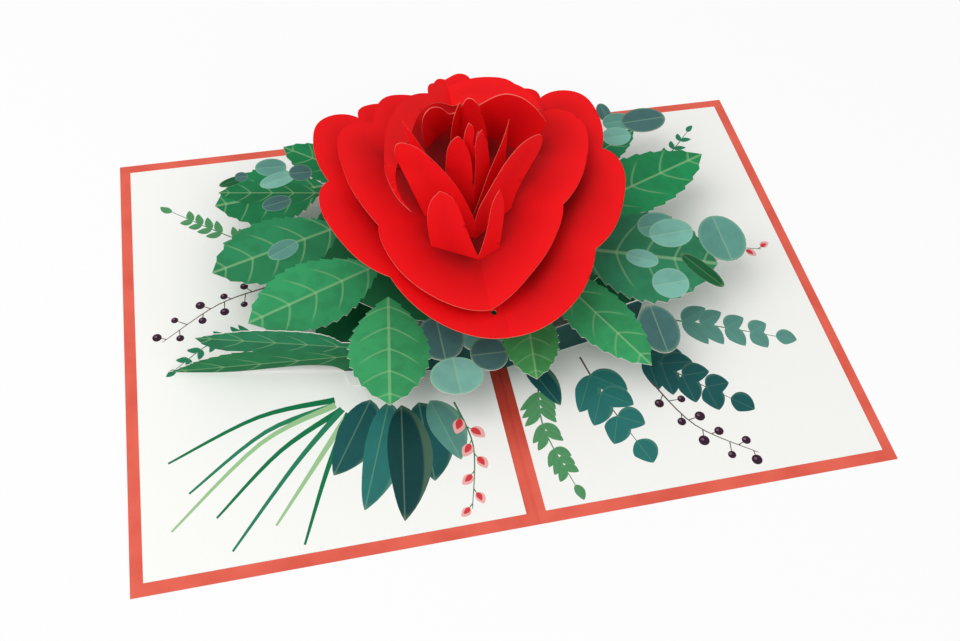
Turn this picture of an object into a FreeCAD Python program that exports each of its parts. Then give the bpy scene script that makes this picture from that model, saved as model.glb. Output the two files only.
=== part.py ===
import FreeCAD, Part
import math
import os
from FreeCAD import Placement, Rotation, Vector

# Pop up card, standing open and flat: a folded cover, two print panels, a die-cut leaf sheet
# carried on folded struts, and a rose of three folded petal sheets and seven upright petal pairs.
# Millimetres. The card's fold runs along Y at x = 0, and the card lies on z = 0.

os.makedirs("parts", exist_ok=True)
doc = FreeCAD.newDocument("pop_up_card")
sheet = doc.addObject("Spreadsheet::Sheet", "Sizes")

SIZES = [
    # cover and print panels
    ("panel_width", 127.0),
    ("card_depth", 178.0),
    ("cover_board", 0.5),
    ("print_paper", 0.3),
    ("border_width", 4.0),
    ("fold_strip", 6.5),
    ("crease_width", 0.8),
    ("crease_depth", 0.2),
    # folded sheets: thickness, height of each fold over the sheet below it, slope of the wings
    ("petal_card", 0.3),
    ("leaf_fold_height", 16.0),
    ("leaf_slope", 3.0),
    ("outer_over_leaf", 17.0),
    ("outer_slope", 10.0),
    ("middle_over_outer", 4.5),
    ("middle_slope", 13.0),
    ("inner_over_middle", 3.5),
    ("inner_slope", 30.0),
    # the inner flower sits a little left of the card's fold, turned to the right
    ("flower_shift", 3.5),
    ("flower_turn", 3.4),
    # locking hole in the outer petals
    ("lock_hole_radius", 1.0),
    ("lock_hole_reach", 28.0),
    ("lock_hole_side", 3.5),
    # struts and risers
    ("strut_spread", 80.5),
    ("front_strut_reach", 30.0),
    ("back_strut_reach", 46.0),
    ("strut_length", 54.0),
    ("glue_tab", 6.0),
    ("riser_tab", 5.0),
    ("outer_riser_span", 24.0),
    ("middle_riser_span", 14.0),
    ("inner_riser_span", 22.0),
    # upright petal pairs: how far their tops lean back, half angle between the two petals
    ("petal_lean", 20.0),
    ("bud_lean", 10.0),
    ("front_spread", 75.0),
    ("wide_spread", 63.0),
    ("pointed_spread", 60.0),
    ("heart_spread", 60.0),
    ("bud_spread", 50.0),
    ("arch_spread", 45.0),
    ("back_spread", 42.0),
]

for row, (alias, number) in enumerate(SIZES, start=1):
    sheet.set("A%d" % row, alias)
    sheet.set("B%d" % row, str(number))
    sheet.setAlias("B%d" % row, alias)
doc.recompute()


def value(alias):
    return float(sheet.get(alias))


def angle(alias):
    return math.radians(value(alias))


# Heights of the folds over the table, as formulas and as numbers.
LEAF_FOLD = "Sizes.leaf_fold_height"
OUTER_FOLD = LEAF_FOLD + " + Sizes.outer_over_leaf"
MIDDLE_FOLD = OUTER_FOLD + " + Sizes.middle_over_outer"
INNER_FOLD = MIDDLE_FOLD + " + Sizes.inner_over_middle"
leaf_fold = value("leaf_fold_height")
outer_fold = leaf_fold + value("outer_over_leaf")
middle_fold = outer_fold + value("middle_over_outer")
inner_fold = middle_fold + value("inner_over_middle")


def bind(thing, **formulas):
    """Ties properties to the sheet. A double underscore stands for the dot in a property's path."""
    for path, formula in formulas.items():
        thing.setExpression(path.replace("__", "."), formula)


def box(name, length, width, height, x="0", y="0", z="0"):
    """A box whose sides and corner are formulas on the sheet."""
    part = doc.addObject("Part::Box", name)
    bind(part, Length=length, Width=width, Height=height)
    bind(part, Placement__Base__x=x, Placement__Base__y=y, Placement__Base__z=z)
    return part


def joined(name, pieces):
    fusion = doc.addObject("Part::MultiFuse", name)
    fusion.Shapes = pieces
    return fusion


def cut(name, base, tool):
    result = doc.addObject("Part::Cut", name)
    result.Base = base
    result.Tool = tool
    return result


def mirrored(name, source, normal):
    result = doc.addObject("Part::Mirroring", name)
    result.Source = source
    result.Normal = normal
    return result


# Cover: one board with a crease scored along the fold. A white print panel is glued inside each
# half, leaving a coloured border and a strip along the fold.

half_depth = "-Sizes.card_depth / 2"
board = box("cover_board_blank", "2 * Sizes.panel_width", "Sizes.card_depth", "Sizes.cover_board",
            x="-Sizes.panel_width", y=half_depth)
crease = box("cover_crease", "Sizes.crease_width", "Sizes.card_depth", "Sizes.crease_depth",
             x="-Sizes.crease_width / 2", y=half_depth, z="Sizes.cover_board - Sizes.crease_depth")
cover = cut("cover_card", board, crease)

right_panel = box("right_print_panel",
                  "Sizes.panel_width - Sizes.border_width - Sizes.fold_strip / 2",
                  "Sizes.card_depth - 2 * Sizes.border_width", "Sizes.print_paper",
                  x="Sizes.fold_strip / 2", y=half_depth + " + Sizes.border_width",
                  z="Sizes.cover_board")
left_panel = mirrored("left_print_panel", right_panel, Vector(1, 0, 0))


# Outlines. A lobe is a few points that one smooth curve passes through, and lobes meet in notches.

def smooth(points):
    """One curve through the points, or a straight edge when there are only two."""
    if len(points) == 2:
        return Part.LineSegment(*points)
    curve = Part.BSplineCurve()
    curve.interpolate(points)
    return curve


def sketch_of(name, lobes, plane_rotation=Rotation()):
    """A closed sketch of lobes, each a list of (x, y), where each starts at the last one's end."""
    sketch = doc.addObject("Sketcher::SketchObject", name)
    for lobe in lobes:
        sketch.addGeometry(smooth([Vector(x, y, 0) for x, y in lobe]), False)
    sketch.Placement = Placement(Vector(), plane_rotation)
    return sketch


def prism(name, sketch, direction, reach):
    """The sketch pushed out both ways, far enough to pass right through a folded sheet."""
    solid = doc.addObject("Part::Extrusion", name)
    solid.Base = sketch
    solid.DirMode = "Custom"
    solid.Dir = direction
    solid.LengthFwd = reach
    solid.LengthRev = reach
    solid.Solid = True
    return solid


def closed_by(right, left):
    """Both halves of an outline as one loop: along the right half, then back along the left."""
    return right + [[(-x, y) for x, y in reversed(lobe)] for lobe in reversed(left)]


def common(name, first, second):
    result = doc.addObject("Part::MultiCommon", name)
    result.Shapes = [first, second]
    return result


# A folded sheet is a shallow trough: a wing each side of a fold along Y, cut to its outline.

WING_REACH = 110.0
BELOW = 30.0


def trough(name, slope, below=0.0):
    """Two wings rising from the fold, one card thick, or with a block under them to trim others."""
    wing = doc.addObject("Part::Box", name + "_wing")
    wing.Length = WING_REACH + below
    wing.Width = 2 * WING_REACH
    bind(wing, Height="Sizes.petal_card + %g" % below)
    wing.Placement = Placement(Vector(), Rotation(Vector(0, -1, 0), 1.0))
    bind(wing, Placement__Rotation__Angle="Sizes.%s" % slope)
    bind(wing, Placement__Base__x="%g * (sin(Sizes.%s) - cos(Sizes.%s))" % (below, slope, slope))
    bind(wing, Placement__Base__y="%g" % -WING_REACH)
    bind(wing, Placement__Base__z="-%g * (cos(Sizes.%s) + sin(Sizes.%s))" % (below, slope, slope))
    other = mirrored(name + "_other_wing", wing, Vector(1, 0, 0))
    return joined(name + "_wings", [wing, other])


def turned_with_flower(part, height):
    """Sets a petal sheet on its fold height, moved left and turned as the inner flower is."""
    part.Placement = Placement(Vector(), Rotation(Vector(0, 0, -1), 1.0))
    bind(part, Placement__Rotation__Angle="Sizes.flower_turn")
    bind(part, Placement__Base__x="-Sizes.flower_shift", Placement__Base__z=height)


def in_plan(lobes, slope):
    """Points given along the paper, (out from the fold, along the fold), as seen from above."""
    return [[(out * math.cos(angle(slope)), along) for out, along in lobe] for lobe in lobes]


# Outer petals: a front lobe, two side lobes and two hidden back lobes, the same on both sides.

OUTER = [
    [(0, -38), (12, -37), (24, -30), (32, -20), (35.5, -12)],
    [(35.5, -12), (43.5, -6), (51, 6.5), (54.5, 19), (53, 27), (50, 30.5)],
    [(50, 30.5), (52.5, 38), (53, 50), (50, 59), (42.5, 63.5), (35, 62)],
    [(35, 62), (33.5, 67), (28, 69.5), (14, 68), (0, 62)],
]
outer_outline = prism("outer_outline", sketch_of("outer_sketch", closed_by(
    in_plan(OUTER, "outer_slope"), in_plan(OUTER, "outer_slope"))), Vector(0, 0, 1), WING_REACH)
outer_blank = common("outer_blank", trough("outer", "outer_slope"), outer_outline)
bind(outer_blank, Placement__Base__z=OUTER_FOLD)
lock_hole = doc.addObject("Part::Cylinder", "lock_hole")
lock_hole.Height = WING_REACH
bind(lock_hole, Radius="Sizes.lock_hole_radius", Placement__Base__x="-Sizes.lock_hole_side",
     Placement__Base__y="-Sizes.lock_hole_reach")
outer_petals = cut("outer_petals", outer_blank, lock_hole)

# Middle petals: a front lobe, two side lobes, and smaller lobes that rise behind the flower.

MIDDLE_RIGHT = [
    [(0, -29.5), (7.8, -25.5), (15.2, -19.2), (21.7, -12.5), (26.9, -4.9), (30.4, 2.5), (31.3, 6.4)],
    [(31.3, 6.4), (38.4, 14.1), (43.2, 23.6), (45.9, 34), (45, 43), (39.5, 49.5), (33, 51)],
    [(33, 51), (31.5, 58.5), (26, 64.5), (19, 67.5), (9, 68.5)],
    [(9, 68.5), (9.5, 74), (8.5, 78.5), (5, 80.6), (1.5, 79.6), (0, 79)],
]
MIDDLE_LEFT = [
    [(0, -29.5), (7.2, -29.7), (14.6, -27.3), (21.6, -22.8), (27.8, -16.2), (32, -7.8), (33.7, 0.1),
     (33.6, 3.5)],
    [(33.6, 3.5), (37.3, 9.8), (41.6, 19.7), (44, 31.9), (43.8, 43), (39.5, 49.5), (31, 50.8)],
    [(31, 50.8), (30.1, 55.4), (28, 61.3), (24.5, 65.7), (20, 67.6), (9, 67.5)],
    [(9, 67.5), (7.7, 70), (5.6, 74.5), (2.6, 79), (0, 79)],
]
middle_outline = prism("middle_outline", sketch_of("middle_sketch", closed_by(
    in_plan(MIDDLE_RIGHT, "middle_slope"), in_plan(MIDDLE_LEFT, "middle_slope"))),
    Vector(0, 0, 1), WING_REACH)
middle_petals = common("middle_petals", trough("middle", "middle_slope"), middle_outline)
turned_with_flower(middle_petals, MIDDLE_FOLD)

# Inner petals: a steep ring that is open at the front, where the upright petals stand. Its left
# arm comes further forward than its right.

INNER_RIGHT = [
    [(0, 61), (10, 56), (22, 47), (32, 39.5)],
    [(32, 39.5), (31, 46), (28.5, 52), (25, 57)],
    [(25, 57), (22.5, 61), (16.5, 66), (8.5, 70), (0, 71)],
]
INNER_LEFT = [
    [(0, 61), (6, 60), (13, 54), (17.5, 46), (21, 37), (25.5, 27), (28.8, 19), (29.8, 10),
     (27.5, 3), (22.1, -2.1)],
    [(22.1, -2.1), (27, 1.6), (30, 4.5), (32.2, 9), (33.4, 14.8), (33, 23), (31.8, 31),
     (29.8, 38.6), (26.9, 45), (23, 52.1), (18, 58), (10, 63)],
    [(10, 63), (8, 69), (0, 71)],
]
inner_outline = prism("inner_outline", sketch_of("inner_sketch", closed_by(
    in_plan(INNER_RIGHT, "inner_slope"), in_plan(INNER_LEFT, "inner_slope"))),
    Vector(0, 0, 1), WING_REACH)
inner_petals = common("inner_petals", trough("inner", "inner_slope"), inner_outline)
turned_with_flower(inner_petals, INNER_FOLD)


# Upright petal pairs: one sheet folded along an upright crease into two petals. They stand on the
# middle petals, so their foot is trimmed by a block that fills the space under that sheet's face.

PAGE_REACH = 60.0
PAGE_FOOT = -12.0

under_middle = trough("under_middle", "middle_slope", BELOW)
turned_with_flower(under_middle, MIDDLE_FOLD)


def page_pair(name, spread, right, left, foot, backwards=False):
    """Two upright pages that part from a crease at the origin: points are (along the page, up)."""
    page = doc.addObject("Part::Box", name + "_page")
    page.Length = 2 * PAGE_REACH
    page.Height = 2 * PAGE_REACH
    page.Placement = Placement(Vector(0, 0, foot), Rotation(Vector(0, 0, 1), 1.0))
    bind(page, Width="Sizes.petal_card", Placement__Rotation__Angle="90 - Sizes.%s" % spread)
    pages = joined(name + "_pages", [page, mirrored(name + "_other_page", page, Vector(1, 0, 0))])
    if backwards:
        pages = mirrored(name + "_turned_pages", pages, Vector(0, 1, 0))
    width = math.sin(angle(spread))
    lobes = closed_by([[(along * width, up) for along, up in lobe] for lobe in right],
                      [[(along * width, up) for along, up in lobe] for lobe in left])
    sketch = sketch_of(name + "_sketch", lobes, Rotation(Vector(1, 0, 0), 90))
    outline = prism(name + "_outline", sketch, Vector(0, 1, 0), 2 * PAGE_REACH)
    return common(name + "_blank", pages, outline)


def upright(name, spread, crease, right, left, lean="0 * Sizes.petal_lean", backwards=False):
    """A pair of petals whose crease stands at (x, y) on the middle petals."""
    blank = page_pair(name, spread, right, left, PAGE_FOOT, backwards)
    blank.Placement = Placement(Vector(crease[0], crease[1], 0), Rotation(Vector(-1, 0, 0), 1.0))
    bind(blank, Placement__Rotation__Angle=lean, Placement__Base__z=MIDDLE_FOLD)
    return cut(name, blank, under_middle)


def petal(inner_edge, outer_edge, foot_reach):
    """One petal: its foot, then up its outer edge to the tip and down its inner edge."""
    foot = [(0, PAGE_FOOT), (foot_reach, PAGE_FOOT)]
    return [foot, [foot[1], outer_edge[0]], outer_edge, inner_edge]


front_pair = upright(
    "front_petal_pair", "front_spread", (-4.7, -9),
    petal([(8.3, 24.4), (6.1, 21.4), (3.7, 12.3), (1.4, 5), (0, 1.5)],
          [(8, 2), (9.4, 12), (9.6, 20), (8.3, 24.4)], 8),
    petal([(11.8, 26), (8.1, 23.7), (4.8, 16), (2.4, 8.1), (0, 1.5)],
          [(15.2, 1.5), (16.4, 14), (14.8, 22.5), (11.8, 26)], 15.2),
    lean="Sizes.petal_lean")

wide_pair = upright(
    "wide_petal_pair", "wide_spread", (-3.8, 0),
    petal([(27.4, 29.9), (20.8, 28.8), (12.6, 23.3), (6.1, 16.3), (2, 11.5), (0, 7)],
          [(16, 5), (20.9, 14.9), (25.9, 20.6), (29.8, 26), (29.9, 28.5), (27.4, 29.9)], 16),
    petal([(23.4, 33.4), (19.7, 32.5), (13.6, 28.2), (5.2, 18.3), (0, 7)],
          [(16.1, 3), (20.2, 13.1), (25.2, 24.9), (26.7, 30.1), (25.9, 32.5), (23.4, 33.4)], 16.1),
    lean="Sizes.petal_lean")

pointed_pair = upright(
    "pointed_petal_pair", "pointed_spread", (-3.5, 7),
    petal([(17.8, 33), (13.3, 24.1), (8.1, 16.3), (3.6, 8.1), (0, 2.5)],
          [(13, 3), (15, 13.8), (16.3, 21.7), (16.8, 27.7), (17.8, 33)], 13),
    petal([(23.4, 35.3), (19.8, 30.8), (16.8, 26.5), (8, 12.5), (0, 2.5)],
          [(18, 2), (19.6, 14), (21, 26), (23.4, 35.3)], 18),
    lean="Sizes.petal_lean")

heart_pair = upright(
    "heart_petal_pair", "heart_spread", (-1.5, 12),
    petal([(4.2, 29.6), (2, 27.8), (0.9, 21), (0.5, 14), (0, 9)],
          [(8, 2), (7.6, 14), (6.7, 22.2), (4.2, 29.6)], 8),
    petal([(5.2, 27.9), (4.2, 27.3), (2.3, 24.8), (0.6, 18), (0, 9)],
          [(10.2, 2), (10.1, 13.5), (9.7, 19.1), (8.2, 24.8), (5.2, 27.9)], 10.2),
    lean="Sizes.petal_lean")

bud_pair = upright(
    "bud_petal_pair", "bud_spread", (-0.5, 18),
    petal([(3, 26), (1.6, 27), (0.5, 24), (0, 22)],
          [(4, 2), (4.3, 16), (3, 26)], 4),
    petal([(2.4, 30.6), (1.2, 30), (0.4, 27), (0, 22)],
          [(4.5, 2), (4.2, 18), (3.4, 28), (2.4, 30.6)], 4.5),
    lean="Sizes.bud_lean")

arch_pair = upright(
    "arch_petal_pair", "arch_spread", (-0.8, 44),
    petal([(4.4, 25.4), (3.3, 25.1), (1.6, 22.9), (0.4, 19.8), (0, 18.7)],
          [(13, 2), (12.4, 6.5), (10.8, 15.5), (8.5, 21.2), (6, 24.9), (4.4, 25.4)], 13),
    petal([(0.9, 22), (0.3, 20.8), (0, 18.7)],
          [(7, 2), (5.6, 8), (4.7, 15.6), (2.6, 20.2), (0.9, 22)], 7),
    backwards=True)

back_pair = upright(
    "back_petal_pair", "back_spread", (-0.5, 56),
    petal([(38.5, 23.8), (34.9, 26.9), (29.5, 28.8), (23.5, 27.8), (17.7, 23.6), (11.2, 15.7),
           (4, 8), (0, 5)],
          [(35, 2), (36.3, 15.9), (38.5, 23.8)], 35),
    petal([(16.9, 20.6), (11.8, 17.3), (6.5, 11.5), (2.9, 7), (0, 5)],
          [(18.5, 2), (20.8, 8.3), (21.8, 17), (20.6, 20.4), (16.9, 20.6)], 18.5),
    backwards=True)


# Leaf sheet: one die-cut sheet of leaves round a plain middle that the rose hides. Toothed leaves
# go from base to tip, round leaves are ovals, both on the sheet as seen from above.

TOOTHED_LEAVES = [
    # base x, base y, tip x, tip y, half width
    (-28.2, 47.6, -62.8, 71.2, 9.7),
    (-49.7, 49.8, -89.9, 44.2, 14.4),
    (-50, 46, -88.3, 50.5, 6.5),
    (-46, 29.7, -92.9, 13.7, 14.7),
    (-35.3, 10.3, -82.7, -9, 14.4),
    (-34.7, -4.4, -41.2, -47.4, 14.1),
    (12.2, -12.3, 8.5, -45.3, 9.9),
    (22.4, 1.3, 47.6, -48.1, 10.9),
    (33.2, 19.8, 96.3, 40.3, 13.9),
    (34.9, 6, 84.1, -12, 21.3),
    (35, 38, 74.3, 58.5, 8),
]
ROUND_LEAVES = [
    # x, y, half length, half width, turn
    (0, 20, 58, 40, 0),
    (-83.4, 18.7, 6.2, 6.2, 0),
    (-75.8, 51.2, 5.6, 4.8, 0),
    (-68.4, 61.1, 5.8, 4.5, 0),
    (-66.5, 54.5, 7, 3.5, 20),
    (-57.8, 57.2, 4.3, 4.2, 0),
    (-83, 55.5, 5, 2, 20),
    (-79.5, 57.5, 2.4, 2.4, 0),
    (-72.3, 32.8, 4.8, 4.2, 0),
    (-6, -24, 8, 8, 0),
    (-4.9, -32.5, 6.5, 6.8, 0),
    (-17.5, -39.5, 7.2, 9, 90),
    (-20, -24, 9, 8, 90),
    (67.8, 9.6, 7.2, 6.3, 0),
    (72, 5.1, 8.2, 6.7, 0),
    (89.5, -1.1, 10.8, 8.5, 90),
    (64.6, -16.7, 6.6, 6.6, 0),
    (77.5, -13.5, 10, 3.2, -60),
    (54.5, -34.5, 10, 7, 90),
    (65.1, 70.2, 5.2, 2.8, 90),
    (69, 64, 6, 5, 0),
    (79.4, 62.9, 9, 6.6, 0),
    (66.3, 56.4, 5.8, 5, 0),
]
TEETH = 12
TOOTH_DEPTH = 0.07
TOWARD_TIP = 1.1
BLUNTNESS = 0.7


def leaf_swell(share):
    """How wide a leaf is at a share of its length: blunt ends, and full a little past half way."""
    return math.sin(math.pi * share ** TOWARD_TIP) ** BLUNTNESS


def toothed_leaf(base_x, base_y, tip_x, tip_y, half_width):
    length = math.hypot(tip_x - base_x, tip_y - base_y)
    ahead = Vector(tip_x - base_x, tip_y - base_y, 0) / length
    aside = Vector(-ahead.y, ahead.x, 0)
    base = Vector(base_x, base_y, 0)
    edge = []
    for tooth in range(1, TEETH):
        point = tooth / TEETH
        dip = point + 0.15 / TEETH
        edge.append((point, half_width * leaf_swell(point)))
        edge.append((dip, half_width * (leaf_swell(dip) - TOOTH_DEPTH)))
    one_side = [base + ahead * (length * share) + aside * wide for share, wide in edge]
    other_side = [base + ahead * (length * share) - aside * wide for share, wide in edge]
    tip = Vector(tip_x, tip_y, 0)
    loop = [base] + one_side + [tip] + other_side[::-1] + [base]
    return Part.Face(Part.makePolygon(loop))


def round_leaf(x, y, half_length, half_width, turn):
    oval = Part.Ellipse(Vector(), max(half_length, half_width), min(half_length, half_width)).toShape()
    face = Part.Face(Part.Wire([oval]))
    face.Placement = Placement(Vector(x, y, 0), Rotation(Vector(0, 0, 1), turn))
    return face


leaves = [round_leaf(*leaf) for leaf in ROUND_LEAVES] + [toothed_leaf(*leaf) for leaf in TOOTHED_LEAVES]
leaf_columns = [leaf.extrude(Vector(0, 0, WING_REACH)) for leaf in leaves]
leaf_prism = doc.addObject("Part::Feature", "leaf_prism")
leaf_prism.Shape = leaf_columns[0].multiFuse(leaf_columns[1:])
leaf_sheet = common("leaf_sheet", trough("leaf", "leaf_slope"), leaf_prism)
bind(leaf_sheet, Placement__Base__z=LEAF_FOLD)


# Struts: two sheets folded on an upright crease over the card's fold. They stand on the print
# panels, hold the leaf sheet up by their top edges, and are glued down by a tab at each foot.

def folded_strip(name, corners, bottom, top):
    """A flat four-sided strip given by its corners seen from above and by its two faces' heights."""
    low = [Vector(x, y, bottom(x, y)) for x, y in corners]
    high = [Vector(x, y, top(x, y)) for x, y in corners]
    rings = [low, high]
    for number in range(4):
        after = (number + 1) % 4
        rings.append([low[number], low[after], high[after], high[number]])
    faces = [Part.Face(Part.makePolygon(ring + ring[:1])) for ring in rings]
    strip = doc.addObject("Part::Feature", name)
    strip.Shape = Part.Solid(Part.Shell(faces))
    return strip


PAPER = value("petal_card")
CARD_TOP = value("cover_board") + value("print_paper")
TAB = value("glue_tab")
STRUT_LENGTH = value("strut_length")
strut_side = math.sin(angle("strut_spread"))
strut_back = math.cos(angle("strut_spread"))


def strut_top(along):
    """Height of the leaf sheet's underside above the print panels, at a place on a strut."""
    return leaf_fold - CARD_TOP + along * strut_side * math.tan(angle("leaf_slope"))


def foot_tab(name, side, crease_y, start, end, direction):
    """A tab on the panel, folded out from the foot of a strut between two places along it."""
    near = [(side * strut_side * along, crease_y + direction * strut_back * along)
            for along in (start, end)]
    out_x = -side * strut_back * TAB
    out_y = -direction * strut_side * TAB
    far = [(x + out_x, y + out_y) for x, y in near]
    corners = [near[0], near[1], far[1], far[0]]
    return folded_strip(name, corners, lambda x, y: CARD_TOP, lambda x, y: CARD_TOP + PAPER)


def strut_half(length):
    """Half of a plain strut's outline: out along the foot, up, and back along the top."""
    return [
        [(0, 0), (length, 0)],
        [(length, 0), (length, strut_top(length))],
        [(length, strut_top(length)), (0, strut_top(0))],
    ]


LONG_LEAVES = [
    [(0, 0), (STRUT_LENGTH, 0)],
    [(STRUT_LENGTH, 0), (58, 3.5), (66, 4.3), (76, 3), (90, 0.8), (101, 0.3), (114, 0.8)],
    [(114, 0.8), (107.5, 4.8), (102.5, 8), (91, 12.5), (81, 13.8)],
    [(81, 13.8), (89, 13.5), (95.2, 14.8), (99, 17.5), (101.5, 21.7)],
    [(101.5, 21.7), (94, 23.9), (84, 25.5), (74, 25.4), (63, 24), (57, 21.3),
     (STRUT_LENGTH, strut_top(STRUT_LENGTH))],
    [(STRUT_LENGTH, strut_top(STRUT_LENGTH)), (0, strut_top(0))],
]


def strut(name, crease_y, right, left, tab_start, tab_end, backwards=False):
    direction = -1 if backwards else 1
    pages = page_pair(name, "strut_spread", right, left, -PAGE_REACH, backwards)
    pages.Placement = Placement(Vector(0, crease_y, CARD_TOP), Rotation())
    bind(pages, Placement__Base__z="Sizes.cover_board + Sizes.print_paper")
    tabs = [foot_tab("%s_tab_%d" % (name, number), side, crease_y, tab_start, tab_end, direction)
            for number, side in enumerate((-1, 1))]
    return joined(name, [pages] + tabs)


front_strut = strut("front_strut", -value("front_strut_reach"), strut_half(STRUT_LENGTH),
                    LONG_LEAVES, STRUT_LENGTH - 14, STRUT_LENGTH)
back_strut = strut("back_strut", value("back_strut_reach"), strut_half(STRUT_LENGTH - 14),
                   strut_half(STRUT_LENGTH - 14), 20, 34, backwards=True)


# Risers: strips that hold each sheet's wings over the sheet below. A riser is a wall along the
# fold with one glue tab on the lower sheet and one under the upper sheet, both turned outwards.

class Wings:
    """The faces of a folded sheet: their height over any place, and places given along its fold."""

    def __init__(self, fold_height, slope, shift=0.0, turn=0.0):
        self.fold_height = fold_height
        self.slope = slope
        self.shift = shift
        self.turn = turn

    def place(self, out, along):
        """A point given out from the fold and along it, as seen from above."""
        x = self.shift + out * math.cos(self.turn) + along * math.sin(self.turn)
        y = -out * math.sin(self.turn) + along * math.cos(self.turn)
        return (x, y)

    def under(self, x, y):
        out = (x - self.shift) * math.cos(self.turn) - y * math.sin(self.turn)
        return self.fold_height + abs(out) * math.tan(self.slope)

    def top(self, x, y):
        return self.under(x, y) + PAPER / math.cos(self.slope)


SHIFT = -value("flower_shift")
TURN = angle("flower_turn")
leaf_wings = Wings(leaf_fold, angle("leaf_slope"))
outer_wings = Wings(outer_fold, angle("outer_slope"))
middle_wings = Wings(middle_fold, angle("middle_slope"), SHIFT, TURN)
inner_wings = Wings(inner_fold, angle("inner_slope"), SHIFT, TURN)
RISER_TAB = value("riser_tab")


def riser(name, lower, upper, span, front, back, tab=RISER_TAB):
    """One riser: its wall stands at a span from the upper sheet's fold, from front to back."""
    side = math.copysign(1, span)

    def strip(part, start, end, bottom, top):
        corners = [upper.place(out, along) for out, along in
                   ((start, front), (end, front), (end, back), (start, back))]
        return folded_strip("%s_%s" % (name, part), corners, bottom, top)

    inside = span - side * PAPER
    foot = strip("foot", span, span + side * tab, lower.top, lambda x, y: lower.top(x, y) + PAPER)
    wall = strip("wall", inside, span, lower.top, upper.under)
    head = strip("head", span, span + side * tab, lambda x, y: upper.under(x, y) - PAPER, upper.under)
    return joined(name, [wall, foot, head])


risers = []
for side_name, sign in (("left", -1), ("right", 1)):
    risers.append(riser(side_name + "_outer_riser", leaf_wings, outer_wings,
                        sign * value("outer_riser_span"), -6, 44))
    risers.append(riser(side_name + "_middle_riser", outer_wings, middle_wings,
                        sign * value("middle_riser_span"), 2, 46))
risers.append(riser("left_inner_riser", middle_wings, inner_wings, -value("inner_riser_span"),
                    30, 40, tab=2.5))
risers.append(riser("right_inner_riser", middle_wings, inner_wings, value("inner_riser_span"),
                    48, 53, tab=1.5))


# Every piece takes its own name, is checked, and is written to a file of that name.

pieces = [cover, left_panel, right_panel, front_strut, back_strut, leaf_sheet]
pieces += risers
pieces += [outer_petals, middle_petals, inner_petals, front_pair, wide_pair, pointed_pair]
pieces += [heart_pair, bud_pair, arch_pair, back_pair]

for piece in pieces:
    piece.Label = piece.Name
doc.recompute()

for thing in doc.Objects:
    if "Invalid" in thing.State or "Error" in thing.State:
        raise RuntimeError("%s could not be made: %s" % (thing.Name, thing.State))
for piece in pieces:
    shape = piece.Shape
    if shape.isNull() or not shape.isValid() or len(shape.Solids) != 1:
        raise RuntimeError("%s is not one sound solid" % piece.Label)
    shape.exportStep("parts/%s.step" % piece.Label)
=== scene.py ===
import bmesh
import bpy
import math
from mathutils import Matrix, Vector
from mathutils.geometry import delaunay_2d_cdt
from mathutils.kdtree import KDTree


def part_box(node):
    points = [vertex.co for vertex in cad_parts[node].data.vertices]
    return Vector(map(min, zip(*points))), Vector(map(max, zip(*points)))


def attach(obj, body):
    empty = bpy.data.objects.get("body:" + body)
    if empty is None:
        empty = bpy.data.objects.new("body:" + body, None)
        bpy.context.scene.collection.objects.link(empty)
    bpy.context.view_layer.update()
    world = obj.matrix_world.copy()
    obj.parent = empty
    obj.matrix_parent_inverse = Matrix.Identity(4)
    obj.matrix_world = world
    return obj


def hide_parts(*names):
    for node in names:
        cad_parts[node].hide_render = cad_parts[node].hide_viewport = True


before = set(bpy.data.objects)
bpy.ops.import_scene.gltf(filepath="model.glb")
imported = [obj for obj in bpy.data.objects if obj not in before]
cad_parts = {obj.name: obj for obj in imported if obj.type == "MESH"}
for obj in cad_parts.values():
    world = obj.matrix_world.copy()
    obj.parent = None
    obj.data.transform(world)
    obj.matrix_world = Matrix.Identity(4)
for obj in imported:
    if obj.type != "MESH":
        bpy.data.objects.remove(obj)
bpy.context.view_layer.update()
MM = 0.001


# The cover: one sheet of board printed coral red all over, creased down the middle and laid open.
# The panels leave only a border and a strip along the fold showing. The rose's shadow on the middle of
# that strip is painted into the coral as a darker tint, which fades out again towards its two ends.

def ink(red, green, blue):
    """A printed colour as it reads on a screen, 0 to 255, for a shader to use."""
    def light(share):
        return share / 12.92 if share < 0.04045 else ((share + 0.055) / 1.055) ** 2.4
    return tuple(light(part / 255) for part in (red, green, blue)) + (1.0,)


class Value:
    """A number that varies over a surface. Arithmetic on it adds maths to its finish."""

    def __init__(self, finish, socket):
        self.finish = finish
        self.socket = socket

    def maths(self, operation, *values):
        return self.finish.node("ShaderNodeMath", {"operation": operation}, values)

    def __add__(self, other):
        return self.maths("ADD", self, other)

    def __sub__(self, other):
        return self.maths("SUBTRACT", self, other)

    def __rsub__(self, other):
        return self.maths("SUBTRACT", other, self)

    def __mul__(self, other):
        return self.maths("MULTIPLY", self, other)

    def __lt__(self, other):
        return self.maths("LESS_THAN", self, other)

    def __gt__(self, other):
        return self.maths("GREATER_THAN", self, other)

    def __abs__(self):
        return self.maths("ABSOLUTE", self)

    def fraction(self):
        return self.maths("FRACT", self)

    def between(self, low, high):
        """Goes from 0 to 1 as this value goes from low to high."""
        return self.finish.node("ShaderNodeMapRange", {"interpolation_type": "SMOOTHSTEP"},
                                {"Value": self, "From Min": low, "From Max": high})

    __radd__ = __add__
    __rmul__ = __mul__


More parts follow.
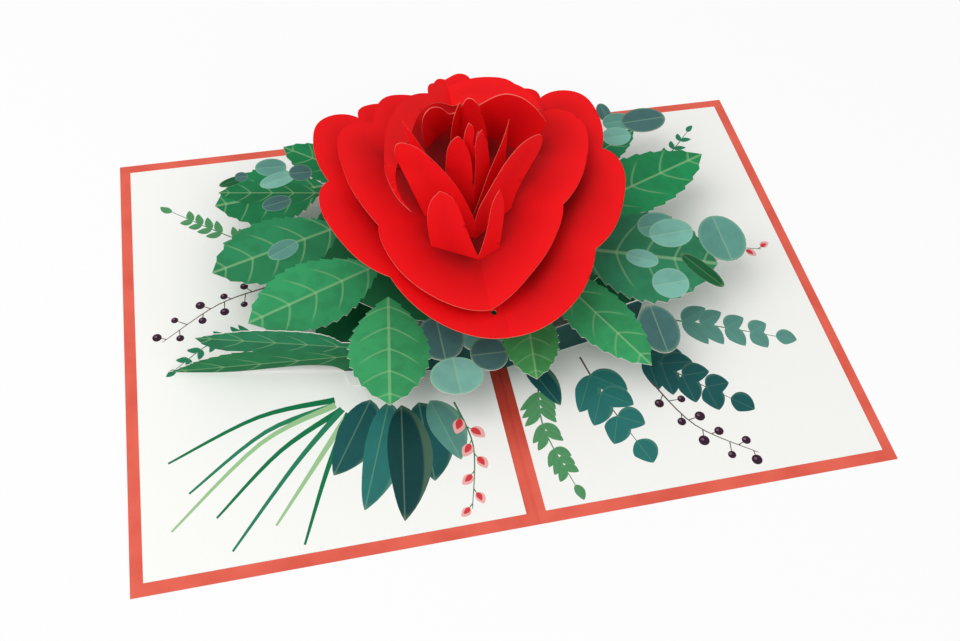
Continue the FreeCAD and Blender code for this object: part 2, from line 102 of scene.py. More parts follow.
class Finish:
    """A printed or bare paper surface, made of shader nodes."""

    def __init__(self, name, roughness):
        self.material = bpy.data.materials.new(name)
        self.material.use_nodes = True
        self.tree = self.material.node_tree
        self.surface = self.tree.nodes["Principled BSDF"]
        self.surface.inputs["Roughness"].default_value = roughness
        self.surface.inputs["Specular IOR Level"].default_value = 0.12
        self.place = self.node("ShaderNodeTexCoord", output="Object")

    def node(self, kind, settings=None, inputs=(), output=0):
        node = self.tree.nodes.new(kind)
        for name, setting in (settings or {}).items():
            setattr(node, name, setting)
        pairs = inputs.items() if isinstance(inputs, dict) else enumerate(inputs)
        for name, value in pairs:
            self.feed(node.inputs[name], value)
        return Value(self, node.outputs[output])

    def feed(self, socket, value):
        if isinstance(value, Value):
            self.tree.links.new(value.socket, socket)
        else:
            socket.default_value = value

    def mix(self, share, first, second):
        """A colour that is the first where share is 0 and the second where it is 1."""
        return self.node("ShaderNodeMix", {"data_type": "RGBA"}, {0: share, 6: first, 7: second}, 2)

    def darken(self, share, colour, times):
        """The colour, multiplied by a grey where share is 1."""
        return self.node("ShaderNodeMix", {"data_type": "RGBA", "blend_type": "MULTIPLY"},
                         {0: share, 6: colour, 7: (times, times, times, 1)}, 2)

    def mottle(self, size, detail=3.0):
        """Soft blotches of about this size in millimetres, from 0 to 1."""
        return self.node("ShaderNodeTexNoise", {}, {"Vector": self.place, "Scale": 1 / (size * MM),
                                                    "Detail": detail})

    def paper_grain(self, depth):
        """Fine fibres standing up from the sheet, this many millimetres deep."""
        grain = self.mottle(0.35, 4.0) * 0.7 + self.mottle(2.5) * 0.3
        bump = self.node("ShaderNodeBump", {}, {"Strength": 0.6, "Distance": depth * MM,
                                                "Height": grain}, "Normal")
        self.feed(self.surface.inputs["Normal"], bump)

    def colour(self, value):
        self.feed(self.surface.inputs["Base Color"], value)


CORAL = ink(234, 105, 87)
DEEP_CORAL = ink(196, 58, 44)
PAINTED_SHADOW_CORAL = ink(168, 48, 36)
HALF_STRIP = 3.5 * MM
SHADE_FADES, SHADE_ENDS = 44 * MM, 72 * MM

coral_board = Finish("coral_board", 0.5)
board_tint = coral_board.mix(coral_board.mottle(14.0).between(0.3, 0.8) * 0.4, CORAL, DEEP_CORAL)
beside_fold = abs(coral_board.node("ShaderNodeSeparateXYZ", {}, [coral_board.place], "X"))
along_fold = abs(coral_board.node("ShaderNodeSeparateXYZ", {}, [coral_board.place], "Y"))
# Painted shadow: the middle of the fold strip is darkened where the rose shades it, fading to both
# ends.
painted_shadow_under_rose = 1 - along_fold.between(SHADE_FADES, SHADE_ENDS)
painted_strip_shadow = (beside_fold < HALF_STRIP) * painted_shadow_under_rose * 0.8
coral_board.colour(coral_board.mix(painted_strip_shadow, board_tint, PAINTED_SHADOW_CORAL))
coral_board.paper_grain(0.02)


def refinish(node, finish):
    """Gives a part of the frame its finish, in all its slots."""
    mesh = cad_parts[node].data
    mesh.materials.clear()
    mesh.materials.append(finish.material)


refinish("cover_card", coral_board)


# The print panels: two sheets of white paper glued inside the cover. Each is printed with a loose
# spray of leaves, buds, berries and grass that seems to grow out from under the pop-up.

def curve_through(points, steps=6):
    """Points on a smooth curve through the given ones."""
    line = []
    for number in range(len(points) - 1):
        before = points[max(number - 1, 0)]
        start, end = points[number], points[number + 1]
        after = points[min(number + 2, len(points) - 1)]
        for step in range(steps):
            share = step / steps
            line.append(tuple(
                0.5 * (2 * b + (c - a) * share + (2 * a - 5 * b + 4 * c - d) * share ** 2
                       + (3 * b - a - 3 * c + d) * share ** 3)
                for a, b, c, d in zip(before, start, end, after)))
    return line + [points[-1]]


def widened(line, width_at):
    """The outline of a stroke along a line of points, as wide each side as width_at(share) says."""
    left, right = [], []
    for number, (x, y) in enumerate(line):
        back, ahead = line[max(number - 1, 0)], line[min(number + 1, len(line) - 1)]
        along = Vector((ahead[0] - back[0], ahead[1] - back[1])).normalized()
        wide = width_at(number / (len(line) - 1))
        left.append((x - along.y * wide, y + along.x * wide))
        right.append((x + along.y * wide, y - along.x * wide))
    return left + right[::-1]


class Motif:
    """One printed shape: its outline, its ink, how strongly its veins show, and its direction."""

    def __init__(self, outline, colour, veins=0.0, base=(0, 0), tip=(1, 0), half_width=1.0):
        swept = sum(a[0] * b[1] - b[0] * a[1] for a, b in zip(outline, outline[1:] + outline[:1]))
        self.outline = outline if swept > 0 else outline[::-1]
        self.colour = colour[:3] + (veins,)
        self.base = Vector(base)
        self.ahead = Vector(tip) - self.base
        self.length = self.ahead.length
        self.ahead.normalize()
        self.half_width = half_width

    def across(self, x, y):
        """Where a point lies on the shape: share of its length, and share of its half width."""
        out = Vector((x, y)) - self.base
        return (out.dot(self.ahead) / self.length,
                (out.y * self.ahead.x - out.x * self.ahead.y) / self.half_width)


def plain_leaf(base, tip, half_width, colour, veins=0.5):
    sweep = (Vector(tip) - Vector(base)) * 0.5
    bend = (base[0] + sweep.x - sweep.y * 0.12, base[1] + sweep.y + sweep.x * 0.12)
    line = curve_through([base, bend, tip], 7)
    outline = widened(line, lambda share: half_width * max(math.sin(math.pi * share ** 0.85), 0.02))
    return Motif(outline, colour, veins, base, tip, half_width)


def disc(x, y, radius, colour, sides=12, tall=1.0):
    outline = [(x + radius * math.cos(2 * math.pi * side / sides),
                y + radius * tall * math.sin(2 * math.pi * side / sides)) for side in range(sides)]
    return Motif(outline, colour)


def stem(points, width, colour, end_width=0.25):
    return Motif(widened(curve_through(points, 6),
                         lambda share: (width + (end_width - width) * share) / 2), colour)


def sprig(points, leaf_length, leaf_width, colour, stem_colour, pairs=7):
    """A stem with narrow leaves in pairs along its outer part and one at its tip."""
    line = curve_through(points, 8)
    parts = [stem(points, 0.7, stem_colour)]
    for pair in range(pairs):
        number = int((0.25 + 0.7 * pair / pairs) * (len(line) - 1))
        foot, ahead = Vector(line[number]), Vector(line[number + 1])
        along = (ahead - foot).normalized()
        aside = Vector((-along.y, along.x))
        for side in (-1, 1):
            shorter = leaf_length * (1 - 0.45 * pair / pairs) * (0.88 if side > 0 else 1)
            tip = foot + (along * 0.75 + aside * side * 0.66) * shorter
            parts.append(plain_leaf(tuple(foot), tuple(tip), leaf_width, colour, 0.3))
    end, last = Vector(line[-1]), Vector(line[-3])
    tip = end + (end - last).normalized() * leaf_length * 0.6
    return parts + [plain_leaf(tuple(end), tuple(tip), leaf_width, colour, 0.3)]


def berries(points, colour, stem_colour, radius=1.5, count=9):
    """Round berries on short stalks, left and right by turns along a stem."""
    line = curve_through(points, 8)
    stalks, fruit = [stem(points, 0.6, stem_colour)], []
    for number in range(count):
        place = int((0.2 + 0.8 * number / (count - 1)) * (len(line) - 2))
        foot, ahead = Vector(line[place]), Vector(line[place + 1])
        along = (ahead - foot).normalized()
        aside = Vector((-along.y, along.x)) * (1 if number % 2 else -1)
        end = foot + along * 2.0 + aside * (3.4 + 1.2 * math.sin(2.3 * number))
        stalks.append(stem([tuple(foot), tuple(end)], 0.4, stem_colour))
        fruit.append(disc(end.x, end.y, radius * (1 + 0.15 * math.sin(5 * number)), colour))
        fruit.append(disc(end.x - 0.4, end.y + 0.5, radius * 0.3, BERRY_SHINE, sides=8))
    return stalks + fruit


def buds(points, colours, stem_colour, size=4.2, count=6):
    """Closed buds, each a pale leaf shape half covered by a deeper one, on a thin stem."""
    line = curve_through(points, 8)
    parts = [stem(points, 0.7, stem_colour)]
    for number in range(count):
        place = int((0.25 + 0.75 * number / (count - 1)) * (len(line) - 2))
        foot, ahead = Vector(line[place]), Vector(line[place + 1])
        along = (ahead - foot).normalized()
        side = 1 if number % 2 else -1
        out = along * 0.8 + Vector((-along.y, along.x)) * side * 0.6
        start = foot + out * 1.6
        length = size * (1.1 - 0.4 * number / count)
        tip = start + out * length
        parts.append(stem([tuple(foot), tuple(start)], 0.5, stem_colour))
        parts.append(plain_leaf(tuple(start), tuple(tip), length * 0.36, colours[0], 0.0))
        parts.append(plain_leaf(tuple(start), tuple(start + out * length * 0.72), length * 0.2,
                                colours[1], 0.0))
    return parts


WHITE = ink(250, 250, 246)
STEM_GREEN = ink(74, 122, 84)
STEM_BROWN = ink(92, 74, 66)
SPRIG_GREEN = ink(38, 128, 92)
LIGHT_SPRIG = ink(84, 150, 100)
GRASS = ink(16, 116, 72)
PALE_GRASS = ink(158, 200, 146)
DEEP_TEAL = ink(18, 66, 66)
UNDERGROWTH = ink(44, 140, 92)
DARK_TEAL = ink(28, 88, 88)
MID_TEAL = ink(44, 118, 112)
PALE_TEAL = ink(92, 148, 136)
PLUM = ink(52, 28, 44)
BERRY_SHINE = ink(120, 96, 116)
BUD_PINK = ink(240, 178, 172)
BUD_RED = ink(214, 62, 70)

PANEL_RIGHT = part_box("right_print_panel")
INNER_SIDE, FRONT_EDGE = PANEL_RIGHT[0][0] / MM, PANEL_RIGHT[0][1] / MM
OUTER_SIDE, BACK_EDGE = PANEL_RIGHT[1][0] / MM, PANEL_RIGHT[1][1] / MM
PANEL_TOP = PANEL_RIGHT[1][2] / MM
PAPER = PANEL_TOP - PANEL_RIGHT[0][2] / MM
PARTITION = 1e-4


def panel_sheet(side):
    inner, outer = sorted((side * INNER_SIDE, side * OUTER_SIDE))
    return [Motif([(inner, FRONT_EDGE), (outer, FRONT_EDGE), (outer, BACK_EDGE), (inner, BACK_EDGE)],
                  WHITE)]


def fan(blades, colours, width):
    """Blades of grass, each a curve through three points, in these colours by turns."""
    return [stem(blade, width, colours[number % len(colours)], width * 0.3)
            for number, blade in enumerate(blades)]


left_print = panel_sheet(-1) + [disc(-44, -2, 17, UNDERGROWTH, sides=24)]
left_print += sprig([(-64, 34), (-84, 44), (-108, 62)], 9, 1.5, LIGHT_SPRIG, STEM_GREEN, 9)
left_print += berries([(-76, 20), (-94, 15), (-114, 2)], PLUM, STEM_BROWN, 1.5, 9)
left_print += sprig([(-74, -2), (-94, 0), (-110, -10)], 7, 1.2, SPRIG_GREEN, STEM_GREEN, 6)
left_print += fan([[(-58, -32), (-84, -34), (-114, -46)], [(-58, -34), (-82, -40), (-108, -58)],
                   [(-58, -34), (-84, -44), (-114, -70)], [(-56, -36), (-78, -48), (-100, -68)],
                   [(-56, -36), (-74, -54), (-96, -80)], [(-54, -38), (-68, -56), (-82, -74)],
                   [(-54, -38), (-64, -58), (-74, -82)]], (GRASS, SPRIG_GREEN, PALE_GRASS), 2.4)
left_print += [
    plain_leaf((-46, -34), (-62, -60), 7.5, DARK_TEAL),
    plain_leaf((-40, -36), (-54, -74), 7, MID_TEAL),
    plain_leaf((-30, -38), (-30, -68), 8, DARK_TEAL),
    plain_leaf((-36, -38), (-42, -80), 7.5, DEEP_TEAL),
    plain_leaf((-26, -38), (-20, -62), 6, PALE_TEAL),
]
left_print += buds([(-18, -40), (-15, -58), (-20, -80)], (BUD_PINK, BUD_RED), STEM_GREEN, 5.5, 7)

right_print = panel_sheet(1) + [disc(46, -5, 12, UNDERGROWTH, sides=24)]
right_print += sprig([(14, -32), (10, -54), (15, -78)], 10, 1.7, LIGHT_SPRIG, STEM_GREEN, 8)
right_print += [plain_leaf((10, -28), (18, -48), 4.5, DARK_TEAL)]
right_print += sprig([(30, -30), (34, -48), (40, -66)], 16, 4.6, MID_TEAL, STEM_BROWN, 3)
right_print += sprig([(48, -26), (62, -42), (78, -56)], 15, 4.2, DARK_TEAL, STEM_BROWN, 4)
right_print += sprig([(62, -18), (84, -26), (104, -34)], 13, 3.4, PALE_TEAL, STEM_GREEN, 4)
right_print += berries([(52, -44), (62, -64), (80, -78)], PLUM, STEM_BROWN, 1.7, 9)
right_print += buds([(86, 4), (98, 9), (114, 6)], (BUD_PINK, BUD_RED), STEM_GREEN, 5.5, 6)
right_print += sprig([(72, 54), (90, 58), (106, 72)], 8, 1.2, SPRIG_GREEN, STEM_GREEN, 6)


def printed_sheet(name, motifs, place, thickness, finish, edge_finish, folds=()):
    """A sheet whose print is laid out flat, motif over motif, and placed by place(x, y) in
    millimetres. It is parted where motifs' edges cross, so each part takes the top one's ink."""
    points, loops, creases = [], [], []
    for motif in motifs:
        loops.append(list(range(len(points), len(points) + len(motif.outline))))
        points += [Vector(point) for point in motif.outline]
    for start, end in folds:
        creases.append((len(points), len(points) + 1))
        points += [Vector(start), Vector(end)]
    flat, _, parts, _, _, covers = delaunay_2d_cdt(points, creases, loops, 1, PARTITION)
    bm = bmesh.new()
    leaf_map = bm.loops.layers.uv.new("leaf")
    inks = bm.loops.layers.float_color.new("ink")
    corners = [bm.verts.new(Vector(place(*point)) * MM) for point in flat]
    for part, cover in zip(parts, covers):
        if not cover:
            continue
        top = motifs[max(cover)]
        for loop, corner in zip(bm.faces.new([corners[number] for number in part]).loops, part):
            loop[leaf_map].uv = top.across(*flat[corner])
            loop[inks] = top.colour
    bmesh.ops.delete(bm, geom=[vert for vert in bm.verts if not vert.link_faces], context="VERTS")
    mesh = bpy.data.meshes.new(name)
    bm.to_mesh(mesh)
    bm.free()
    piece = bpy.data.objects.new(name, mesh)
    bpy.context.collection.objects.link(piece)
    mesh.materials.append(finish.material)
    mesh.materials.append(edge_finish.material)
    wall = piece.modifiers.new("thickness", "SOLIDIFY")
    wall.thickness = thickness * MM
    wall.offset = -1.0
    wall.use_even_offset = True
    wall.material_offset_rim = 1
    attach(piece, "root")
    return piece


def leaf_print(name, roughness):
    """Printed card: each motif's own ink, with a pale midrib and side veins where it is a leaf."""
    finish = Finish(name, roughness)
    tint = finish.node("ShaderNodeAttribute", {"attribute_name": "ink"}, output="Color")
    veined = finish.node("ShaderNodeAttribute", {"attribute_name": "ink"}, output="Alpha")
    place = finish.node("ShaderNodeUVMap", {"uv_map": "leaf"})
    ahead = finish.node("ShaderNodeSeparateXYZ", {}, [place], "X")
    aside = finish.node("ShaderNodeSeparateXYZ", {}, [place], "Y")
    out = abs(aside)
    toothed = veined > 0.9
    wash = finish.mottle(6.0).between(0.42, 0.62)
    shade = finish.darken((aside > 0.0) * veined * 0.6, tint, 0.74)
    shade = finish.darken(wash * 0.45 * veined, shade, 0.72)
    light = finish.mix(0.45, tint, VEIN_GREEN)
    rib = 1 - out.between(0.015, 0.05)
    steps = (ahead * 5.0 - out * out * 0.7 - out * 0.5).fraction()
    side_vein = (1 - abs(steps - 0.5).between(0.02, 0.06)) * (1 - out.between(0.45, 0.8))
    along = ahead * 2.0 - 1.0
    rim = (along * along + aside * aside).between(0.72, 0.98) * (1 - toothed)
    shade = finish.mix(rim * veined * 0.6, shade, light)
    shade = finish.mix((side_vein * toothed * 0.55 + rib * 0.75) * veined, shade, light)
    finish.colour(shade)
    finish.paper_grain(0.015)
    return finish


VEIN_GREEN = ink(178, 214, 160)

print_paper = leaf_print("print_paper", 0.55)
paper_edge = Finish("paper_edge", 0.7)
paper_edge.colour(paper_edge.mix(paper_edge.mottle(3.0), ink(238, 234, 226), ink(224, 220, 212)))
paper_edge.paper_grain(0.02)

for panel, motifs in (("left_print_panel", left_print), ("right_print_panel", right_print)):
    piece = printed_sheet(panel + "_sheet", motifs, lambda x, y: (x, y, PANEL_TOP), PAPER,
                          print_paper, paper_edge)
    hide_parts(panel)


# The front strut: a card strip folded on an upright crease over the card's fold, standing on the
# panels by two glued tabs. Its left end runs on as two long leaves that show beside the rose.

STRUT_CREASE = -30.0
STRUT_SPREAD = math.radians(80.5)
STRUT_LENGTH = 54.0
TAB_START = 40.0
TAB = 6.0
CARD = 0.3
LEAF_FOLD = 16.0
LEAF_SLOPE = math.radians(3.0)
NEAR = 0.01

LONG_GREEN = ink(32, 124, 74)
LONG_BLUE_GREEN = ink(36, 132, 88)
STRUT_TEAL = ink(24, 74, 70)


def strut_top(along):
    return LEAF_FOLD - PANEL_TOP + abs(along) * math.sin(STRUT_SPREAD) * math.tan(LEAF_SLOPE)


def strut_place(along, up):
    """From the unfolded strut, along from its crease and up from its foot, to where it stands."""
    side = -1 if along < 0 else 1
    x = math.sin(STRUT_SPREAD) * along
    y = STRUT_CREASE + math.cos(STRUT_SPREAD) * abs(along)
    if TAB_START - NEAR <= abs(along) <= STRUT_LENGTH + NEAR and up < CARD:
        return (x + side * math.cos(STRUT_SPREAD) * min(up, 0), y + math.sin(STRUT_SPREAD) * min(up, 0),
                PANEL_TOP + CARD)
    return (x, y, PANEL_TOP + up)


def saw_edge(points, teeth, depth, steps=4):
    """A smooth edge with small saw teeth that point along it."""
    line = curve_through(points, steps * teeth // (len(points) - 1) + 1)
    edge = []
    for number in range(teeth):
        place = int(number * (len(line) - 1) / teeth)
        nearer = int((number + 0.2) * (len(line) - 1) / teeth)
        x, y = line[place]
        ahead = Vector(line[min(place + 1, len(line) - 1)]) - Vector(line[place])
        ahead.normalize()
        edge.append((x + ahead.y * depth, y - ahead.x * depth))
        edge.append(line[nearer])
    return edge + [points[-1]]


def on_left(points):
    return [(-along, up) for along, up in points]


strut_body = Motif([(-STRUT_LENGTH, 0), (0, 0), (STRUT_LENGTH, 0),
                    (STRUT_LENGTH, strut_top(STRUT_LENGTH)), (0, strut_top(0)),
                    (-STRUT_LENGTH, strut_top(STRUT_LENGTH))], STRUT_TEAL)
strut_tabs = [Motif([(side * TAB_START, CARD), (side * STRUT_LENGTH, CARD),
                     (side * STRUT_LENGTH, -TAB), (side * TAB_START, -TAB)], WHITE)
              for side in (-1, 1)]
lower_leaf = Motif(
    on_left([(50, 3)] + curve_through([(STRUT_LENGTH, 0.6), (58, 3.5), (66, 4.3), (76, 3), (90, 0.8),
                                       (101, 0.3), (114, 0.8)])
            + saw_edge([(114, 0.8), (107.5, 4.8), (102.5, 8), (91, 12.5), (81, 13.8)], 12, -0.5)
            + [(66, 14.2), (50, 14)]),
    LONG_GREEN, 1.0, (-50, 10), (-114, 0.8), 6.5)
upper_leaf = Motif(
    on_left([(50, 11), (66, 13.6)]
            + saw_edge([(81, 13.8), (89, 13.5), (95.2, 14.8), (99, 17.5), (101.5, 21.7)], 5, 0.3)
            + saw_edge([(101.5, 21.7), (94, 23.9), (84, 25.5), (74, 25.4), (63, 24), (57, 21.3),
                        (STRUT_LENGTH, strut_top(STRUT_LENGTH))], 14, -0.3) + [(50, 17)]),
    LONG_BLUE_GREEN, 1.0, (-50, 15), (-101.5, 21.7), 7.0)

leaf_card = leaf_print("leaf_card", 0.5)
FAR = STRUT_LENGTH + TAB
front_strut = printed_sheet(
    "front_strut_sheet", [strut_body] + strut_tabs + [lower_leaf, upper_leaf], strut_place, CARD,
    leaf_card, paper_edge, folds=[((0, -1), (0, 40)), ((-FAR, CARD), (FAR, CARD))])
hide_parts("front_strut")

# The back strut: a plainer strip of the same card, behind the rose. It is printed dark green and
# stays hidden under the leaves.

strut_green = Finish("strut_green", 0.5)
strut_green.colour(strut_green.mix(strut_green.mottle(8.0), ink(24, 74, 60), ink(34, 92, 72)))
strut_green.paper_grain(0.015)
refinish("back_strut", strut_green)


# The leaf sheet: one sheet of card, die-cut round its printed leaves and folded over the card's
# fold. It lies on the struts' top edges, and its plain middle is hidden by the rose.

TEETH = 12
TOOTH_DEPTH = 0.07
TOWARD_TIP = 1.1
BLUNTNESS = 0.7
NOTCH = 0.15


def leaf_swell(share):
    return math.sin(math.pi * share ** TOWARD_TIP) ** BLUNTNESS


def toothed_leaf(base_x, base_y, tip_x, tip_y, half_width, colour):
    base, tip = Vector((base_x, base_y)), Vector((tip_x, tip_y))
    ahead = (tip - base).normalized()
    aside = Vector((-ahead.y, ahead.x))
    edge = []
    for tooth in range(1, TEETH):
        point = tooth / TEETH
        dip = point + NOTCH / TEETH
        edge.append((point, half_width * leaf_swell(point)))
        edge.append((dip, half_width * (leaf_swell(dip) - TOOTH_DEPTH)))
    one_side = [tuple(base + ahead * ((tip - base).length * share) + aside * wide)
                for share, wide in edge]
    other_side = [tuple(base + ahead * ((tip - base).length * share) - aside * wide)
                  for share, wide in edge]
    return Motif([tuple(base)] + one_side + [tuple(tip)] + other_side[::-1], colour, 1.0,
                 tuple(base), tuple(tip), half_width)


def round_leaf(x, y, half_length, half_width, turn, colour, veins=0.7, sides=28):
    turn = math.radians(turn)
    ahead = Vector((math.cos(turn), math.sin(turn)))
    aside = Vector((-ahead.y, ahead.x))
    middle = Vector((x, y))
    outline = [tuple(middle + ahead * half_length * math.cos(2 * math.pi * side / sides)
                     + aside * half_width * math.sin(2 * math.pi * side / sides))
               for side in range(sides)]
    base = middle - ahead * half_length
    tip = middle + ahead * half_length
    return Motif(outline, colour, veins, tuple(base), tuple(tip), half_width)


DARK_GREEN = ink(24, 92, 54)
BLUE_LEAF = ink(126, 188, 172)
GREY_LEAF = ink(96, 156, 142)
DIM_LEAF = ink(70, 112, 110)

leaf_prints = [
    round_leaf(0, 20, 58, 40, 0, DARK_GREEN, 0.0, sides=64),
    toothed_leaf(-28.2, 47.6, -62.8, 71.2, 9.7, ink(26, 136, 78)),
    toothed_leaf(-49.7, 49.8, -89.9, 44.2, 14.4, ink(28, 126, 76)),
    toothed_leaf(-50, 46, -88.3, 50.5, 6.5, ink(26, 118, 70)),
    toothed_leaf(-46, 29.7, -92.9, 13.7, 14.7, ink(44, 138, 88)),
    toothed_leaf(33.2, 19.8, 96.3, 40.3, 13.9, ink(32, 142, 84)),
    toothed_leaf(34.9, 6, 84.1, -12, 21.3, ink(48, 132, 92)),
    toothed_leaf(35, 38, 74.3, 58.5, 8, ink(28, 124, 80)),
    round_leaf(-68, 21, 6, 4, 30, GREY_LEAF),
    round_leaf(-68, 43, 5.5, 3.6, 15, DIM_LEAF),
    round_leaf(-68.4, 61.1, 5.8, 4.5, 0, GREY_LEAF),
    round_leaf(-66.5, 54.5, 7, 3.5, 20, BLUE_LEAF),
    round_leaf(-57.8, 57.2, 4.3, 4.2, 0, DIM_LEAF),
    round_leaf(-83, 55.5, 5, 2, 20, DARK_GREEN),
    round_leaf(-79.5, 57.5, 2.4, 2.4, 0, DIM_LEAF),
    round_leaf(58, -4, 6, 4, -30, BLUE_LEAF),
    round_leaf(67.8, 9.6, 7.2, 6.3, 0, GREY_LEAF),
    round_leaf(72, 5.1, 8.2, 6.7, 0, BLUE_LEAF),
    round_leaf(89.5, -1.1, 10.8, 8.5, 90, GREY_LEAF),
    round_leaf(64.6, -16.7, 6.6, 6.6, 0, BLUE_LEAF),
    round_leaf(77.5, -13.5, 10, 3.2, -60, DARK_GREEN),
    round_leaf(54.5, -34.5, 10, 7, 90, DIM_LEAF),
    round_leaf(65.1, 70.2, 5.2, 2.8, 90, DIM_LEAF),
    round_leaf(69, 64, 6, 5, 0, GREY_LEAF),
    round_leaf(79.4, 62.9, 9, 6.6, 0, DIM_LEAF),
    round_leaf(66.3, 56.4, 5.8, 5, 0, BLUE_LEAF),
    toothed_leaf(-35.3, 10.3, -82.7, -9, 14.4, ink(56, 162, 102)),
    round_leaf(-6, -24, 8, 8, 0, GREY_LEAF),
    round_leaf(-20, -24, 9, 8, 90, DIM_LEAF),
    round_leaf(-17.5, -39.5, 7.2, 9, 90, BLUE_LEAF),
    round_leaf(-4.9, -32.5, 6.5, 6.8, 0, DIM_LEAF),
    toothed_leaf(-34.7, -4.4, -41.2, -47.4, 14.1, ink(62, 164, 102)),
    toothed_leaf(22.4, 1.3, 47.6, -48.1, 10.9, ink(58, 162, 100)),
    toothed_leaf(12.2, -12.3, 8.5, -45.3, 9.9, ink(72, 158, 88)),
]


def leaf_place(x, y):
    return (x, y, LEAF_FOLD + CARD / math.cos(LEAF_SLOPE) + abs(x) * math.tan(LEAF_SLOPE))


leaf_sheet = printed_sheet("leaf_sheet_leaves", leaf_prints, leaf_place, CARD, leaf_card, paper_edge,
                           folds=[((0, -90), (0, 110))])
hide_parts("leaf_sheet")


# The risers: strips of the petals' own card, folded into glue tabs above and below. They hold each
# petal sheet over the one beneath and can only be seen from low down at the sides.

riser_red = Finish("riser_red", 0.55)
riser_red.colour(riser_red.mix(riser_red.mottle(6.0), ink(168, 22, 20), ink(146, 16, 16)))
riser_red.paper_grain(0.015)
for side in ("left", "right"):
    for level in ("outer", "middle", "inner"):
        refinish("%s_%s_riser" % (side, level), riser_red)


# The petals: sheets of card printed red on both sides, brightest along their rims and deeper
# towards the folds. The deepest red, far in from the rims, is partly print and partly painted shade
# between the petals. Their cut edges show the card's own pale core.

BRIGHT_RED = ink(238, 14, 20)
PETAL_RED = ink(218, 6, 14)
DEEP_RED_AND_PAINTED_SHADE = ink(100, 3, 7)

petal_red = Finish("petal_red", 0.62)
from_rim = petal_red.node("ShaderNodeAttribute", {"attribute_name": "from_rim"}, output="Fac")
uneven = petal_red.mottle(12.0) * 5.0
petal_tint = petal_red.mix((from_rim + uneven).between(3.0, 14.0), BRIGHT_RED, PETAL_RED)
# Partly print, partly painted shade: the deepest red far in from the rims, where petals shade each
# other.
petal_tint = petal_red.mix((from_rim + uneven).between(11.0, 27.0) * 0.9, petal_tint, DEEP_RED_AND_PAINTED_SHADE)
petal_red.colour(petal_tint)
petal_red.paper_grain(0.02)

petal_edge = Finish("petal_edge", 0.6)
petal_edge.colour(petal_edge.mix(petal_edge.mottle(2.0), ink(246, 128, 112), ink(236, 100, 88)))
petal_edge.paper_grain(0.01)

GRID = 2.5
BROAD_SHARE = 0.12
FACES_DOWN = -0.6


def graded_petals(node):
    """A copy of a petal sheet cut into a fine grid, on which each point knows how far the rim is.
    Directions with little area are its cut edges. The rim is where they meet its broad faces."""
    bm = bmesh.new()
    bm.from_mesh(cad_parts[node].data)
    bmesh.ops.remove_doubles(bm, verts=bm.verts, dist=1e-6)
    low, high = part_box(node)
    for axis in range(3):
        across = Vector([1.0 if axis == number else 0.0 for number in range(3)])
        for step in range(1, int((high[axis] - low[axis]) / (GRID * MM)) + 1):
            bmesh.ops.bisect_plane(bm, geom=bm.verts[:] + bm.edges[:] + bm.faces[:], dist=1e-7,
                                   plane_co=across * (low[axis] + step * GRID * MM), plane_no=across)
    broad = {}
    for face in bm.faces:
        facing = tuple(round(part, 2) for part in face.normal)
        broad[facing] = broad.get(facing, 0.0) + face.calc_area()
    least = BROAD_SHARE * max(broad.values())
    for face in bm.faces:
        facing = tuple(round(part, 2) for part in face.normal)
        face.material_index = 0 if broad[facing] > least else 1
    rim = [edge for edge in bm.edges
           if len({face.material_index for face in edge.link_faces}) == 2
           and min(face.normal.z for face in edge.link_faces) > FACES_DOWN]
    nearby = KDTree(2 * len(rim))
    for number, edge in enumerate(rim):
        nearby.insert(edge.verts[0].co, 2 * number)
        nearby.insert((edge.verts[0].co + edge.verts[1].co) / 2, 2 * number + 1)
    nearby.balance()
    distance = bm.verts.layers.float.new("from_rim")
    for vert in bm.verts:
        vert[distance] = nearby.find(vert.co)[2] / MM
    mesh = bpy.data.meshes.new(node + "_card")
    bm.to_mesh(mesh)
    bm.free()
    mesh.materials.append(petal_red.material)
    mesh.materials.append(petal_edge.material)
    piece = bpy.data.objects.new(node + "_card", mesh)
    bpy.context.collection.objects.link(piece)
    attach(piece, "root")
    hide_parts(node)


for node in ("outer_petals", "middle_petals", "inner_petals"):
    graded_petals(node)

# The upright petals: sheets folded once into two petals, glued by their feet to the middle petals.
# Seven of them stand one behind the other and make the rose's heart.

for node in ("front_petal_pair", "wide_petal_pair", "pointed_petal_pair", "heart_petal_pair",
             "bud_petal_pair", "arch_petal_pair", "back_petal_pair"):
    graded_petals(node)


# The table: a plain white top under soft studio light from the left and above.

TABLE = 1.6
TABLE_GLOW = 0.82
ROOM_LIGHT = 0.55

bm = bmesh.new()
bmesh.ops.create_grid(bm, x_segments=1, y_segments=1, size=TABLE)
table_mesh = bpy.data.meshes.new("table_top")
bm.to_mesh(table_mesh)
bm.free()
table = bpy.data.objects.new("table_top", table_mesh)
bpy.context.collection.objects.link(table)

table_white = Finish("table_white", 0.9)
table_white.colour(ink(246, 246, 246))
seen = table_white.node("ShaderNodeLightPath", output="Is Camera Ray")
for ray in ("Is Glossy Ray", "Is Transmission Ray"):
    seen = seen.maths("MAXIMUM", seen, table_white.node("ShaderNodeLightPath", output=ray))
glow = table_white.node("ShaderNodeEmission", {}, {"Color": (1, 1, 1, 1), "Strength": 1.0})
blend = table_white.node("ShaderNodeMixShader", {}, {0: seen * TABLE_GLOW})
table_white.tree.links.new(table_white.surface.outputs[0], blend.socket.node.inputs[1])
table_white.tree.links.new(glow.socket, blend.socket.node.inputs[2])
table_white.tree.links.new(blend.socket, table_white.tree.nodes["Material Output"].inputs["Surface"])
table_mesh.materials.append(table_white.material)

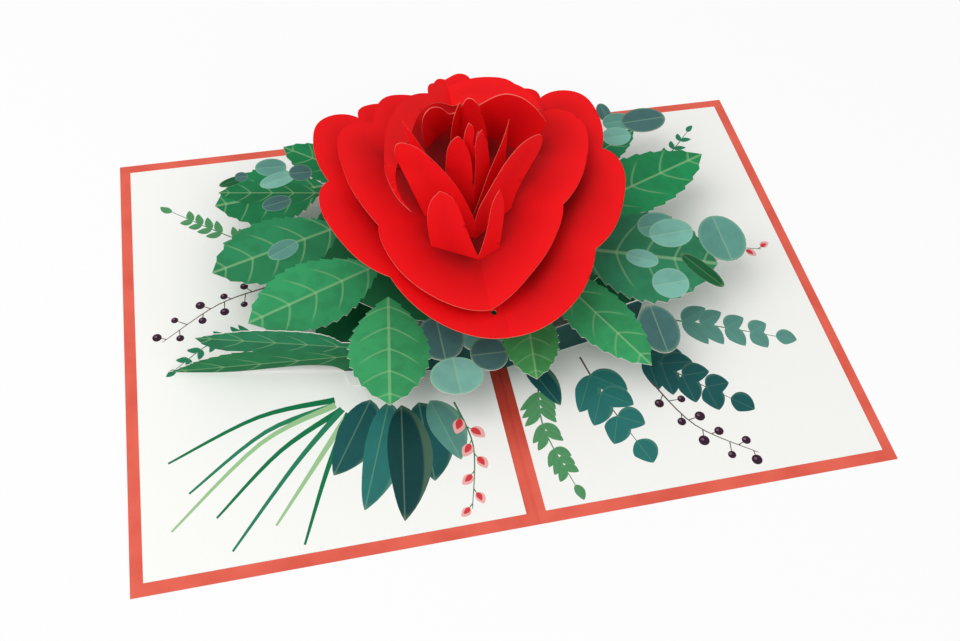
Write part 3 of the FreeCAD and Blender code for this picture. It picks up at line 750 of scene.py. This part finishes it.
world = bpy.data.worlds.new("studio")
bpy.context.scene.world = world
world.use_nodes = True
sky = world.node_tree.nodes["Background"]
path = world.node_tree.nodes.new("ShaderNodeLightPath")
white_to = path.outputs["Is Camera Ray"]
for ray in ("Is Glossy Ray", "Is Transmission Ray"):
    either = world.node_tree.nodes.new("ShaderNodeMath")
    either.operation = "MAXIMUM"
    world.node_tree.links.new(white_to, either.inputs[0])
    world.node_tree.links.new(path.outputs[ray], either.inputs[1])
    white_to = either.outputs["Value"]
strength = world.node_tree.nodes.new("ShaderNodeMapRange")
strength.inputs["To Min"].default_value = ROOM_LIGHT
strength.inputs["To Max"].default_value = 1.0
world.node_tree.links.new(white_to, strength.inputs["Value"])
world.node_tree.links.new(strength.outputs["Result"], sky.inputs["Strength"])
sky.inputs["Color"].default_value = (1, 1, 1, 1)


def soft_light(name, place, width, power):
    lamp = bpy.data.lights.new(name, "AREA")
    lamp.size = width
    lamp.energy = power
    light = bpy.data.objects.new(name, lamp)
    light.location = place
    light.rotation_euler = (-Vector(place)).to_track_quat("-Z", "Y").to_euler()
    bpy.context.collection.objects.link(light)


soft_light("window_side", (-0.6, -0.1, 0.95), 0.95, 6.3)
soft_light("front_fill", (0.35, -0.9, 0.8), 0.9, 2.4)

# The camera stands in front and a little to the left, looking steeply down, and is slightly tilted.

AZIMUTH, ELEVATION, ROLL = math.radians(-17.062), math.radians(55.037), math.radians(5.803)
TARGET = Vector((-1.715, -7.676, 0)) * MM
DISTANCE = 368.13 * MM
FOCAL_PIXELS, PHOTO_PIXELS, SENSOR = 1008.17, 960, 36
toward_camera = Vector((math.sin(AZIMUTH) * math.cos(ELEVATION),
                        -math.cos(AZIMUTH) * math.cos(ELEVATION), math.sin(ELEVATION)))
level = Vector((0, 0, 1)).cross(toward_camera).normalized()
upward = toward_camera.cross(level)
right = level * math.cos(ROLL) + upward * math.sin(ROLL)
top = upward * math.cos(ROLL) - level * math.sin(ROLL)

lens = bpy.data.cameras.new("camera")
lens.sensor_width = SENSOR
lens.lens = FOCAL_PIXELS / PHOTO_PIXELS * SENSOR
lens.clip_start = 0.01
camera = bpy.data.objects.new("camera", lens)
camera.matrix_world = Matrix((right, top, toward_camera)).transposed().to_4x4()
camera.location = TARGET + toward_camera * DISTANCE
bpy.context.collection.objects.link(camera)
bpy.context.scene.camera = camera
bpy.context.scene.view_settings.view_transform = "Standard"
